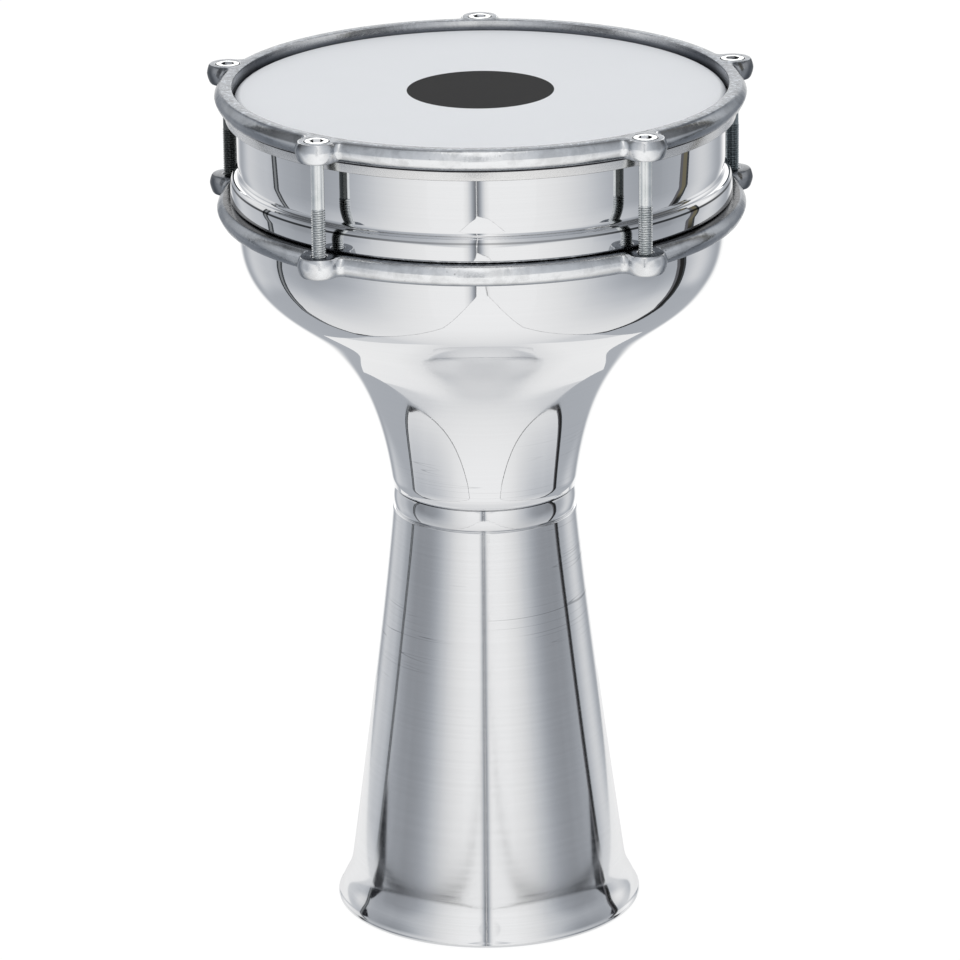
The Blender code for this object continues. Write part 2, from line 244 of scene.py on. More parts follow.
def lightMaterial(name):
    material = bpy.data.materials.new(name)
    material.use_nodes = True
    material.node_tree.nodes.clear()
    return material, material.node_tree


def shine(tree, colour):
    glow = made(tree, "ShaderNodeEmission", {"Color": colour, "Strength": 1.0})
    addNode(tree, "ShaderNodeOutputMaterial", {"Surface": glow})


def tint(colour):
    # dim parts lean to blue
    level = made(colour.id_data, "ShaderNodeRGBToBW", {0: colour})
    return mixColours(fade(level, *studio["shadeLevels"]), dimmed(colour, opaque(studio["shade"])), colour)


def roundRamp(place, stops):
    return ramp(place, [((turns + 180) / 360, tone) for turns, tone in stops], 'EASE')


def buildRoom():
    world = bpy.data.worlds.new("studio")
    world.use_nodes = True
    bpy.context.scene.world = world
    tree = world.node_tree
    tree.nodes.clear()
    parts = split(coordinate(tree, "Generated"))
    turn = times(maths('ARCTAN2', parts[0], times(parts[1], -1.0)), math.degrees(1))
    rise = times(maths('ARCSINE', parts[2]), math.degrees(1))
    place = plus(over(turn, 360.0), 0.5)
    light = roundRamp(place, studio["room"])
    start, full, gain = studio["upper"]
    light = mixColours(fade(rise, start, full), light, dimmed(light, grey(gain)))
    start, full, tone = studio["ground"]
    light = mixColours(fade(rise, start, full), light, grey(tone))
    start, full, tone = studio["dome"]
    path = addNode(tree, "ShaderNodeLightPath").outputs
    overhead = mixColours(path["Is Glossy Ray"], grey(tone), roundRamp(place, studio["domeMirrored"]))
    light = mixColours(fade(rise, start, full), light, overhead)
    lit = made(tree, "ShaderNodeBackground", {"Color": tint(light), "Strength": 1.0})
    plain = made(tree, "ShaderNodeBackground", {"Color": grey(1), "Strength": 1.0})
    mixed = made(tree, "ShaderNodeMixShader", {0: path["Is Camera Ray"], 1: lit, 2: plain})
    addNode(tree, "ShaderNodeOutputWorld", {"Surface": mixed})


def linked(name, mesh):
    piece = bpy.data.objects.new(name, mesh)
    bpy.context.scene.collection.objects.link(piece)
    return piece


def buildFloor():
    settings = studio["floor"]
    half = settings["half"]
    mesh = bpy.data.meshes.new("floor")
    mesh.from_pydata([(-half, -half, 0), (half, -half, 0), (half, half, 0), (-half, half, 0)], [], [(0, 1, 2, 3)])
    floor = linked("floor", mesh)
    floor.location.z = -settings["drop"]
    floor.visible_glossy = False
    paint, tree = lightMaterial("floor_paper")
    matt = made(tree, "ShaderNodeBsdfDiffuse", {"Color": grey(settings["white"])})
    glow = made(tree, "ShaderNodeEmission", {"Color": grey(1), "Strength": settings["glow"]})
    seen = times(addNode(tree, "ShaderNodeLightPath").outputs["Is Camera Ray"], settings["glowShare"])
    mixed = made(tree, "ShaderNodeMixShader", {0: seen, 1: matt, 2: glow})
    addNode(tree, "ShaderNodeOutputMaterial", {"Surface": mixed})
    mesh.materials.append(paint)


def inMetalOnly(name, points, faces, material):
    # a piece of the studio that only the drum's metal sees, so that no camera looks at its back
    mesh = bpy.data.meshes.new(name)
    mesh.from_pydata(points, [], faces)
    mesh.materials.append(material)
    piece = linked(name, mesh)
    piece.visible_camera = False
    piece.visible_diffuse = False
    piece.visible_shadow = False
    piece.visible_transmission = False


def cardPaper():
    white, tree = lightMaterial("card_white")
    spot = split(coordinate(tree))
    ahead = times(spot[1], -1.0)
    light = lengthRamp(ahead, studio["paper"], studio["paperReach"])
    light = mixColours(ramp(slantOf(tree), studio["paperGloss"]), light, grey(studio["glossTone"]))
    low, full, share = studio["upperRear"]
    rear = times(fade(spot[2], low, full), fade(ahead, *studio["upperRearDepth"]))
    light = mixColours(rear, light, dimmed(light, grey(share)))
    high = lengthRamp(ahead, studio["paperHigh"], studio["paperHighReach"])
    light = mixColours(fade(spot[2], *studio["paperChange"]), light, high)
    across, along, top = studio["meet"]
    off = times(absolute(minus(over(spot[0], ahead), -across / along)), -along)
    light = dimmed(light, lengthRamp(off, studio["meeting"], studio["meetingReach"]))
    # painted shade in the crease along the cards' feet
    start, end, rise = studio["wedge"]
    foot = plus(fade(spot[1], start, end, studio["seam"], rise), studio["bottom"])
    light = mixColours(maths('LESS_THAN', spot[2], foot), light, studio["seamShadeColour"])
    shine(tree, tint(light))
    return white


def tablePaper():
    # white and glossy: seen flat it mirrors the cards
    paper, tree = lightMaterial("table_white")
    spot = split(coordinate(tree))
    ahead = times(spot[1], -1.0)
    edge, near, far, dim, bright = studio["tableRearShaded"]
    rear = fade(absolute(spot[0]), near, far, dim, bright)
    square = times(spot[0], spot[0])
    second, fourth = studio["tableRearCurve"]
    line = plus(times(square, second), times(square, square, fourth))
    behind = maths('LESS_THAN', ahead, minus(edge, line))
    # painted shadow on the table where it comes near the drum
    light = tint(mixColours(behind, ramp(ahead, studio["tableFrontShaded"]), rear))
    glow = made(tree, "ShaderNodeEmission", {"Color": light})
    tone, rough = studio["tableMirror"]
    mirror = made(tree, "ShaderNodeBsdfGlossy", {"Color": grey(tone), "Roughness": rough})
    slant = slantOf(tree)
    gloss = mixColours(fade(ahead, *studio["tableGlossChange"]), ramp(slant, studio["tableGlossNear"]),
                       ramp(slant, studio["tableGloss"]))
    gloss = mixColours(maths('LESS_THAN', spot[1], studio["tableGlossRear"]), (0, 0, 0, 1), gloss)
    mixed = made(tree, "ShaderNodeMixShader", {0: gloss, 1: glow, 2: mirror})
    addNode(tree, "ShaderNodeOutputMaterial", {"Surface": mixed})
    return paper


def edgeOf(side, shift, behind):
    # a card's rear edge from foot to top, or a line some way behind it
    first, second = (Vector(spot[:2]) for spot in studio["cards"][:2])
    ahead = (second - first).normalized()
    spots = [first + ahead * (lean + shift - behind) for height, lean in studio["lean"]]
    return [(side * spot.x, spot.y, height) for spot, (height, lean) in zip(spots, studio["lean"])]


def sheetBetween(name, first, second, material):
    count = len(first)
    inMetalOnly(name, first + second, [(k, k + 1, k + 1 + count, k + count) for k in range(count - 1)], material)


def buildCards():
    white = cardPaper()
    black, tree = lightMaterial("card_edge")
    shine(tree, studio["bindingEdge"])
    across, along, top = studio["meet"]
    bottom = studio["bottom"]
    for side, label in ((-1, "left"), (1, "right")):
        trim = studio[label]
        inner, tree = lightMaterial("card_inner_" + label)
        shine(tree, trim["inner"])
        lining, tree = lightMaterial("card_lining_" + label)
        change = fade(split(coordinate(tree))[2], *studio["liningChange"])
        shine(tree, mixColours(change, trim["liningLow"], trim["lining"]))
        spots = [(side * x, y, high) for x, y, high in studio["cards"][1:]]
        spots.append((across + side * studio["slit"], along, top))
        sheetBetween("card_" + label, [(x, y, bottom) for x, y, high in spots], spots, white)
        x, y, high = spots[0]
        upright = [(x, y, height) for height, lean in studio["lean"]]
        sheetBetween("card_rear_" + label, upright, edgeOf(side, trim["shift"], 0), white)
        steps = [edgeOf(side, trim["shift"], behind) for behind in trim["binding"]]
        for start, end, paint in zip(steps, steps[1:], (inner, lining, black)):
            sheetBetween(paint.name + "_strip", start, end, paint)
    edge = studio["table"] + [(x, y) for x, y, high in studio["cards"][1:]]
    rim = [(x, y, bottom) for x, y in edge] + [(across, along, bottom)]
    rim += [(-x, y, bottom) for x, y in reversed(edge)]
    inMetalOnly("table_sheet", rim, [tuple(range(len(rim)))], tablePaper())


setCamera()
buildRoom()
buildFloor()
buildCards()
print("camera, studio and floor are in place")


def arc(centre, radius, start, end, steps):
    points = []
    for step in range(steps + 1):
        angle = math.radians(start + (end - start) * step / steps)
        points.append((centre[0] + radius * math.cos(angle), centre[1] + radius * math.sin(angle)))
    return points


def bezier(start, pullStart, pullEnd, end, steps):
    points = []
    for step in range(steps + 1):
        t = step / steps
        weights = ((1 - t) ** 3, 3 * t * (1 - t) ** 2, 3 * t * t * (1 - t), t ** 3)
        points.append(tuple(sum(w * c[axis] for w, c in zip(weights, (start, pullStart, pullEnd, end)))
                            for axis in (0, 1)))
    return points


def inset(points, depth):
    # the inner side of a sheet whose outer side runs upwards through these points
    moved = []
    for index, (radius, height) in enumerate(points):
        before = points[max(index - 1, 0)]
        after = points[min(index + 1, len(points) - 1)]
        run = math.dist(before, after)
        moved.append((radius - depth * (after[1] - before[1]) / run,
                      height + depth * (after[0] - before[0]) / run))
    return moved


def eased(points, radius, steps=3):
    # rounds the corners of a closed outline
    result = []
    for index, point in enumerate(points):
        before, here = Vector(points[index - 1]), Vector(point)
        after = Vector(points[(index + 1) % len(points)])
        reach = min(radius, (before - here).length * 0.45, (after - here).length * 0.45)
        start = here + (before - here).normalized() * reach
        end = here + (after - here).normalized() * reach
        for step in range(steps + 1):
            t = step / steps
            result.append(tuple(start * (1 - t) ** 2 + here * 2 * t * (1 - t) + end * t * t))
    return result


def turnTree():
    # Spins an outline drawn as (radius, height) edges round the upright axis
    tree = bpy.data.node_groups.new("turned sheet", "GeometryNodeTree")
    face = tree.interface
    face.new_socket("Outline", in_out='INPUT', socket_type='NodeSocketGeometry')
    face.new_socket("Turns", in_out='INPUT', socket_type='NodeSocketInt')
    face.new_socket("Finish", in_out='INPUT', socket_type='NodeSocketMaterial')
    face.new_socket("Sheet", in_out='OUTPUT', socket_type='NodeSocketGeometry')
    given = addNode(tree, "NodeGroupInput").outputs
    outline = made(tree, "GeometryNodeMeshToCurve", {"Mesh": given["Outline"]})
    hoop = made(tree, "GeometryNodeCurvePrimitiveCircle", {"Resolution": given["Turns"], "Radius": 1.0})
    spun = made(tree, "GeometryNodeCurveToMesh", {"Curve": hoop, "Profile Curve": outline})
    closed = made(tree, "GeometryNodeMergeByDistance", {"Geometry": spun, "Distance": 0.000004})
    real = made(tree, "GeometryNodeRealizeInstances", {"Geometry": closed})
    dressed = made(tree, "GeometryNodeSetMaterial", {"Geometry": real, "Material": given["Finish"]})
    addNode(tree, "NodeGroupOutput", {"Sheet": dressed})
    return tree


def runTree(name, tree, mesh, values, sharp=32):
    # gives the tree its inputs by identifier, and keeps the result as a plain mesh
    piece = linked(name, mesh)
    nodes = piece.modifiers.new("nodes", 'NODES')
    nodes.node_group = tree
    for socket in tree.interface.items_tree:
        if socket.item_type == 'SOCKET' and socket.in_out == 'INPUT' and socket.name in values:
            nodes[socket.identifier] = values[socket.name]
    return settle(piece, sharp)


def settle(piece, sharp=32):
    # modifiers are worked out once, and the piece keeps a plain mesh
    bpy.context.view_layer.update()
    graph = bpy.context.evaluated_depsgraph_get()
    plain = bpy.data.meshes.new_from_object(piece.evaluated_get(graph), depsgraph=graph)
    plain.name = piece.name
    piece.modifiers.clear()
    piece.data = plain
    build = bmesh.new()
    build.from_mesh(plain)
    bmesh.ops.recalc_face_normals(build, faces=build.faces)
    if build.calc_volume(signed=True) < 0:
        bmesh.ops.reverse_faces(build, faces=build.faces)
    build.to_mesh(plain)
    build.free()
    plain.shade_smooth()
    plain.set_sharp_from_angle(angle=math.radians(sharp))
    return piece


def turned(name, outline, material, turns=240, closed=True):
    mesh = bpy.data.meshes.new(name)
    # the tree's circle has a radius of one metre
    points = [(radius - 1.0, -height, 0) for radius, height in outline]
    edges = [(index, index + 1) for index in range(len(points) - 1)]
    if closed:
        edges.append((len(points) - 1, 0))
    mesh.from_pydata(points, edges, [])
    return runTree(name, turnTree(), mesh, {"Turns": turns, "Finish": material})


def finishPiece(piece, node, body):
    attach(piece, body)
    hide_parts(node)


def newMaterial(name, colour, roughness, metallic=1.0, **constants):
    material = bpy.data.materials.new(name)
    material.use_nodes = True
    shader = material.node_tree.nodes["Principled BSDF"]
    shader.inputs["Base Color"].default_value = (*colour, 1)
    shader.inputs["Roughness"].default_value = roughness
    shader.inputs["Metallic"].default_value = metallic
    for key, value in constants.items():
        shader.inputs[key.replace("_", " ")].default_value = value
    return material, material.node_tree, shader


def placed(tree, scale=(1, 1, 1), offset=(0, 0, 0)):
    return made(tree, "ShaderNodeMapping", {"Vector": coordinate(tree), "Scale": scale, "Location": offset})


def spotAndReach(tree):
    # the place on the piece, and its distance from the axis
    parts = split(coordinate(tree))
    level = made(tree, "ShaderNodeCombineXYZ", {0: parts[0], 1: parts[1]})
    return parts, addNode(tree, "ShaderNodeVectorMath", {0: level}, operation='LENGTH').outputs["Value"]


def grain(vector, scale, detail=3.0, rough=0.55, distortion=0.0):
    return made(vector.id_data, "ShaderNodeTexNoise", {"Vector": vector, "Scale": scale, "Detail": detail,
                                                       "Roughness": rough, "Distortion": distortion})


def feed(shader, name, value):
    value.id_data.links.new(value, shader.inputs[name])


def bumped(shader, height, distance, strength=1.0, under=None):
    values = {"Height": height, "Distance": distance, "Strength": strength}
    if under:
        values["Normal"] = under
    normal = made(height.id_data, "ShaderNodeBump", values)
    feed(shader, "Normal", normal)
    return normal


def facingShade(colour, stops):
    # painted shade: the colour darkens where the surface turns away from the view, as satin metal gives back less light
    # there
    return dimmed(colour, ramp(slantOf(colour.id_data), stops))


def brushRound(tree, shader):
    feed(shader, "Tangent", made(tree, "ShaderNodeTangent", direction_type='RADIAL', axis='Z'))


def attribute(tree, name):
    return addNode(tree, "ShaderNodeAttribute", attribute_name=name).outputs["Fac"]


lathe = {
    # how each grain is stretched, its detail, roughness and distortion
    "fine": ((3, 3, 2600), 4.0, 0.7), "rings": ((6, 6, 700), 2.0, 0.5), "rubbed": ((9, 9, 16), 3.0, 0.6),
    "marks": ((5, 5, 330), 1.0, 0.4, 0.2), "patches": ((11, 11, 40), 2.0, 0.5),
    "mix": (0.6, 0.4, 0.3), "roughSpread": (0.40, 0.95), "streakSpread": (0.42, 0.62),
    "markWidth": (0.009, 0.002), "patchSpread": (0.46, 0.56), "markDepth": 0.5, "markColour": (0.20, 0.21, 0.22, 1),
    "cloudSide": (0.044, 0.018), "cloudRough": 0.16, "collarRough": 0.5, "lipRough": 0.75,
    "grooveShadeSoft": 0.0003, "grooveShadeSide": (0.025, 0.060, 0.45, 0.95), "grooveColour": (0.04, 0.042, 0.045, 1),
}


def polishedSheet(name, settings):
    # spun aluminium: fine rings from the lathe, a few dark scratches, and light rubbing
    colour = settings["colour"]
    material, tree, shader = newMaterial(name, colour, 0.09, Anisotropic=settings["brushed"], Anisotropic_Rotation=0.25)
    brushRound(tree, shader)
    parts = split(coordinate(tree))
    height, aside = parts[2], absolute(parts[0])

    def turnedGrain(kind):
        stretch, *quality = lathe[kind]
        return grain(placed(tree, stretch, settings["offset"]), 1.0, *quality)

    fine, rings, rubbed, marks, patches = map(turnedGrain, ("fine", "rings", "rubbed", "marks", "patches"))
    fineShare, ringShare, rubbedShare = lathe["mix"]
    both = plus(times(fine, fineShare), times(rings, ringShare))
    rough = fade(plus(both, times(rubbed, rubbedShare)), *lathe["roughSpread"], *settings["rough"])
    if "cloudy" in settings:
        cloud = times(within(height, *settings["cloudy"]), fade(aside, *lathe["cloudSide"]), lathe["cloudRough"])
        rough = plus(rough, cloud)
    if "brightAbove" in settings:
        rough = times(rough, fade(height, *settings["brightAbove"], 1.0, lathe["collarRough"]))
    if "crispBelow" in settings:
        rough = times(rough, fade(height, *settings["crispBelow"], 1.0, lathe["lipRough"]))
    feed(shader, "Roughness", rough)
    tone = mixColours(fade(both, *lathe["streakSpread"]), opaque(colour, settings["streaks"]), opaque(colour))
    # scratches run round the sheet, some longer than others
    thin = fade(absolute(minus(marks, 0.5)), *lathe["markWidth"])
    scratch = times(thin, fade(patches, *lathe["patchSpread"]), within(height, *settings["scratched"]),
                    lathe["markDepth"])
    tone = mixColours(scratch, tone, lathe["markColour"])
    if "groove" in settings:
        # painted shade: a dark line in the cove over the bead, stronger towards the sides
        low, high = settings["groove"]
        line = within(height, low - lathe["grooveShadeSoft"], low, high, high + lathe["grooveShadeSoft"])
        tone = mixColours(times(line, fade(aside, *lathe["grooveShadeSide"])), tone, lathe["grooveColour"])
    # painted shade by the angle of view, where the settings ask for it
    feed(shader, "Base Color", facingShade(tone, settings["facingShadeStops"]) if "facingShadeStops" in settings else tone)
    under = None
    if "curl" in settings:
        # the neck's last few millimetres seem to turn in towards the collar
        low, high, depth = settings["curl"]
        under = bumped(shader, times(maths('POWER', fade(height, high, low), 2.0), -depth), 1.0)
    bumped(shader, both, settings["lines"], 1.0, under)
    return material


castSkin = {
    # scale, detail, roughness and distortion of each grain
    "blotch": (70.0, 4.0, 0.62, 0.35), "dents": (190.0, 2.0, 0.5, 0.2), "skin": (900.0, 3.0, 0.6),
    "flecks": (460.0, 4.0, 0.70, 0.8), "pits": 330.0,
    "pitSize": (0.16, 0.05), "pitPatches": (0.56, 0.62), "pitDepth": 0.6, "pitColour": (0.22, 0.22, 0.23, 1),
    "mix": (0.6, 0.4, 0.3), "spread": (0.38, 0.54), "darker": 0.84, "rough": (0.4, 0.9, 0.15, 0.25),
    "flat": (0.80, 0.97),               # how upright the normal of a filed face is
    # upward faces: a mottled painted shade, with painted glints where the ramp goes above one
    "topGlintAndShade": [(0.36, 0.42), (0.47, 0.62), (0.56, 0.78), (0.62, 1.25)],
    "shadowShift": (0.015, 0.090, -0.003, 0.0048), "shadowColour": (0.12, 0.12, 0.13, 1),
    "far": (0.014, 0.034), "farNormal": (0.20, -0.10), "farColour": (0.20, 0.21, 0.23, 1),
    # painted highlight along the marked edges, strongest in front
    "edge": (0.62, 0.95, 0.0, 0.8), "edgeHighlightSide": (0.095, 0.065), "edgeHighlightColour": (0.97, 0.97, 0.97, 1),
    # painted shade by the angle of view, tinted blue where it is darkest
    "facingShadeStops": [(0.0, 1.0), (0.30, 1.0), (0.38, 0.72), (0.46, (0.46, 0.48, 0.51)), (0.60, (0.29, 0.31, 0.34)),
               (0.85, (0.27, 0.29, 0.32)), (1.0, 0.32)],
    "bumps": {"skin": 0.000015, "flecks": 0.00005, "dents": (0.00009, 0.8), "blotch": (0.0004, 0.7)},
}


def castMetal(name, settings):
    # satin casting: mottled skin and small pits; on the upward filed faces a mottled painted shade with painted glints
    # (bright flecks), and a painted highlight along the top edges
    colour = settings["colour"]
    material, tree, shader = newMaterial(name, colour, 0.3)
    parts, reach = spotAndReach(tree)
    aside = absolute(parts[0])
    spot = placed(tree, (1, 1, 1), settings["offset"])
    blotch, dents, skin = (grain(spot, *castSkin[kind]) for kind in ("blotch", "dents", "skin"))
    scale, *quality = castSkin["flecks"]
    flecks = grain(placed(tree, (scale, scale, scale), settings["offset"]), 1.0, *quality)
    pits = addNode(tree, "ShaderNodeTexVoronoi", {"Vector": spot, "Scale": castSkin["pits"]}).outputs["Distance"]
    pitted = times(fade(pits, *castSkin["pitSize"]), fade(blotch, *castSkin["pitPatches"]), castSkin["pitDepth"])
    blotchShare, dentShare, skinShare = castSkin["mix"]
    both = plus(times(blotch, blotchShare), times(dents, dentShare))
    tone = mixColours(fade(both, *castSkin["spread"]), opaque(colour, castSkin["darker"]), opaque(colour))
    tone = mixColours(pitted, tone, castSkin["pitColour"])
    turn = split(coordinate(tree, "Normal"))
    level = fade(turn[2], *castSkin["flat"])
    # painted glints and mottled painted shade on the upward faces
    topGlintAndShade = ramp(flecks, castSkin["topGlintAndShade"])
    inward = minus(reach, fade(aside, *castSkin["shadowShift"]))
    topGlintAndShade = mixColours(fade(inward, *settings["shadow"]), dimmed(topGlintAndShade, castSkin["shadowColour"]), topGlintAndShade)
    tone = mixColours(level, tone, dimmed(tone, topGlintAndShade))
    # the far side stands in the shade
    rear = times(fade(parts[1], *castSkin["far"]), fade(turn[1], *castSkin["farNormal"]))
    rear = times(rear, minus(1.0, times(level, settings["farTop"])))
    tone = mixColours(rear, tone, dimmed(tone, castSkin["farColour"]))
    # painted highlight along the top edges, fading towards the sides
    edge = times(fade(attribute(tree, "edge"), *castSkin["edge"]), fade(aside, *castSkin["edgeHighlightSide"]))
    feed(shader, "Base Color", mixColours(edge, facingShade(tone, castSkin["facingShadeStops"]), castSkin["edgeHighlightColour"]))
    feed(shader, "Roughness", fade(plus(both, times(skin, skinShare)), *castSkin["rough"]))
    bumps = castSkin["bumps"]
    normal = bumped(shader, skin, bumps["skin"])
    normal = bumped(shader, times(flecks, level), bumps["flecks"], 1.0, normal)
    normal = bumped(shader, dents, *bumps["dents"], normal)
    bumped(shader, blotch, *bumps["blotch"], normal)
    return material


hole = {"dark": (0.12, 0.125, 0.13), "bright": (0.85, 0.86, 0.87), "rim": (0.0005, 0.0003),
        "lines": (1, 1, 2600), "rough": (0.3, 0.7, 0.28, 0.42)}


def boreFinish(name, top):
    # painted shade down the hole, and the casting's light colour where it breaks out at the top
    material, tree, shader = newMaterial(name, hole["dark"], 0.35)
    start, full = hole["rim"]
    rim = fade(split(coordinate(tree))[2], top - start, top - full)
    feed(shader, "Base Color", mixColours(rim, opaque(hole["dark"]), opaque(hole["bright"])))
    feed(shader, "Roughness", fade(grain(placed(tree, hole["lines"]), 1.0, 2.0), *hole["rough"]))
    return material


foot = {
    "wall": 0.0018, "rimRadius": 0.0658, "rimHeight": 0.0025, "rimFlat": 0.0016, "rimStep": 0.0008, "rimTurn": 44,
    "lipHeight": 0.018, "lipPullTop": 0.0085, "lipPullRim": 0.0062, "lipLeanRim": 19.7,
    "coneRadius": 0.0592, "coneCurve": 1.13, "neckRadius": 0.0394, "grooveHeight": 0.179, "grooveRound": 0.0008,
    "collarRadius": 0.0382, "collarHeight": 0.0091, "collarBulge": 0.0008, "collarFullness": 0.8, "collarWall": 0.0014,
}


def leaning(point, reach, lean):
    # a point some way up from another, along a line that leans outwards
    return point[0] + reach * math.sin(lean), point[1] + reach * math.cos(lean)


def buildFoot():
    wall, rimHeight, lipHeight = foot["wall"], foot["rimHeight"], foot["lipHeight"]
    neck, grooveHeight, grooveRound = foot["neckRadius"], foot["grooveHeight"], foot["grooveRound"]
    rimCentre = (foot["rimRadius"] - rimHeight / 2, rimHeight / 2)
    rim = arc(rimCentre, rimHeight / 2, -90, foot["rimTurn"], 12)
    coneTop = grooveHeight - grooveRound
    flare = foot["coneRadius"] - neck
    # the lip goes on from the cone without a crease
    leanRim = math.radians(foot["lipLeanRim"])
    leanTop = math.atan(flare * foot["coneCurve"] / (coneTop - lipHeight))
    lipFoot = (foot["rimRadius"] - foot["rimStep"], rimHeight + 0.0001)
    lipTop = (foot["coneRadius"], lipHeight)
    lip = bezier(lipFoot, leaning(lipFoot, foot["lipPullRim"], -leanRim),
                 leaning(lipTop, -foot["lipPullTop"], -leanTop), lipTop, 24)
    cone = []
    for step in range(1, 49):
        share = 1 - step / 48
        cone.append((neck + flare * share ** foot["coneCurve"], coneTop - (coneTop - lipHeight) * share))
    groove = arc((neck - grooveRound, coneTop), grooveRound, 8, 84, 6)
    collar = []
    for step in range(21):
        bulge = foot["collarBulge"] * math.sin(math.pi * step / 20) ** foot["collarFullness"]
        collar.append((foot["collarRadius"] + bulge, grooveHeight + foot["collarHeight"] * step / 20))
    bore = foot["collarRadius"] - foot["collarWall"]
    inside = inset([*lip, *cone], wall)
    inside[-1] = (neck - wall, grooveHeight - wall - 0.001)
    inside[0] = (rimCentre[0] - foot["rimFlat"], 0)
    return [*rim, *lip, *cone, *groove, *collar, (bore, grooveHeight + foot["collarHeight"]),
            (bore, grooveHeight - wall), *reversed(inside)]


bowl = {
    "wall": 0.0018, "spigotRadius": 0.0365, "spigotFoot": 0.1679, "foot": 0.1884, "neckRadius": 0.0394,
    "lean": 7.3, "footPull": 0.786, "shoulderPull": 0.408, "shoulderHeight": 0.3027, "bandRadius": 0.1024,
    "beadHeight": 0.3172, "beadDepth": 0.0031, "beadRound": 0.001, "beadFlat": 0.0039, "beadCrown": 0.0095,
    "coveRound": 0.0019, "waist": 0.0008, "waistTop": 0.3360, "edgeHeight": 0.3609, "edgeRound": 0.0026,
    "edgeLip": 0.0013,
}


def buildBowl():
    wall, spigot, spigotFoot, neckFoot = (bowl[key] for key in ("wall", "spigotRadius", "spigotFoot", "foot"))
    band, waist, edgeHeight, edgeRound = (bowl[key] for key in ("bandRadius", "waist", "edgeHeight", "edgeRound"))
    beadHeight, beadRound, crownRound = (bowl[key] for key in ("beadHeight", "beadRound", "beadCrown"))
    coveRound = bowl["coveRound"]
    bend = arc((bowl["neckRadius"] - wall, neckFoot + wall), wall, -90, 0, 10)
    start = bend.pop()
    shoulder = (band, bowl["shoulderHeight"])
    rise = shoulder[1] - start[1]
    pullStart = leaning(start, rise * bowl["footPull"], math.radians(bowl["lean"]))
    trumpet = bezier(start, pullStart, (band, shoulder[1] - rise * bowl["shoulderPull"]), shoulder, 120)
    beadRadius = band + bowl["beadDepth"]
    beadFoot = arc((beadRadius - beadRound, beadHeight + beadRound), beadRound, -90, 0, 10)
    crownFoot = beadHeight + beadRound + bowl["beadFlat"]
    crownTurn = math.degrees(math.acos(1 - (bowl["beadDepth"] - coveRound) / crownRound))
    crown = arc((beadRadius - crownRound, crownFoot), crownRound, 0, crownTurn, 12)
    coveTop = crown[-1][1] + coveRound
    cove = [(band + coveRound + x * (1 + waist / coveRound), z)
            for x, z in arc((0, coveTop), coveRound, -90, -180, 10)[1:]]
    drawn = [(band - waist * (1 - step / 12) ** 2, coveTop + (bowl["waistTop"] - coveTop) * step / 12)
             for step in range(1, 13)]
    edgeCentre = (band - edgeRound, edgeHeight - edgeRound)
    lip = edgeCentre[0] - bowl["edgeLip"]
    bore = band - wall
    beadInside = [(bore, coveTop), (beadRadius - wall, crown[-1][1] - wall), (beadRadius - wall, beadHeight + wall),
                  (bore, beadHeight)]
    return [(spigot, spigotFoot), (spigot, neckFoot), *bend, *trumpet, (band, beadHeight), *beadFoot, *crown, *cove,
            *drawn, *arc(edgeCentre, edgeRound, 0, 90, 14), (lip, edgeHeight), (lip, edgeHeight - wall),
            *arc(edgeCentre, edgeRound - wall, 90, 0, 6), *beadInside, *reversed(inset(trumpet, wall)),
            (spigot - wall, neckFoot), (spigot - wall, spigotFoot)]


footPolish = polishedSheet("foot_polish", {
    "colour": (0.885, 0.89, 0.90), "offset": (0, 0, 3), "brushed": 0.9, "rough": (0.085, 0.14), "lines": 0.0000016,
    "streaks": 0.972, "brightAbove": (0.1780, 0.1798), "crispBelow": (0.036, 0.014),
    "scratched": (0.100, 0.125, 0.176, 0.178),
    # painted shade by the angle of view
    "facingShadeStops": [(0.0, 1.0), (0.10, 0.96), (0.25, 0.88), (0.36, 0.90), (0.50, 1.0), (1.0, 1.0)]})
bowlPolish = polishedSheet("bowl_polish", {
    "colour": (0.88, 0.885, 0.895), "offset": (0, 0, 11), "brushed": 0.4, "rough": (0.018, 0.045), "lines": 0.0000001,
    "streaks": 0.985, "scratched": (0.190, 0.196, 0.215, 0.232), "cloudy": (0.230, 0.242, 0.264, 0.274),
    # the groove entry is a painted shade line in the cove over the bead
    "groove": (0.3249, 0.3254), "curl": (0.1884, 0.1950, 0.0014)})
footPiece = turned("foot", buildFoot(), footPolish)
bowlPiece = turned("bowl", buildBowl(), bowlPolish)
finishPiece(footPiece, "foot_shell", "shell")
finishPiece(bowlPiece, "bowl_shell", "shell")
print("foot and bowl are spun")


head = {
    "thickness": 0.0003, "gap": 0.0003, "flare": 0.0014, "drop": 0.0019, "end": 0.0014,
    "dotRadius": 0.0308, "dotSoft": 0.00008, "topSide": (0.3610, 0.36135),
    "colour": (0.70, 0.72, 0.75), "ink": (0.005, 0.005, 0.006), "frost": (2600.0, 3.0, 0.6), "frostBump": 0.000012,
    "cloud": (18.0, 3.0, 0.5), "cloudTone": 0.985, "spread": (0.3, 0.7), "rough": (0.38, 0.50),
    "sheen": (0.25, 0.02), "inkBump": 0.00003,
}


def buildHead():
    centre = (bowl["bandRadius"] - bowl["edgeRound"], bowl["edgeHeight"] - bowl["edgeRound"])
    seat = bowl["edgeRound"] + head["gap"]
    flareFoot = centre[1] - head["drop"]
    skirtFoot = flareFoot - head["end"]
    bore = bowl["bandRadius"] + head["gap"] + head["flare"]
    rim = bore + head["thickness"]
    outside = arc(centre, seat + head["thickness"], 90, 0, 20)
    inside = arc(centre, seat, 0, 90, 20)
    rings = [centre[0] * step / 24 for step in range(24)]
    return [*[(radius, outside[0][1]) for radius in rings], *outside, (rim, flareFoot), (rim, skirtFoot),
            (bore, skirtFoot), (bore, flareFoot), *inside, *[(radius, inside[-1][1]) for radius in reversed(rings)]]


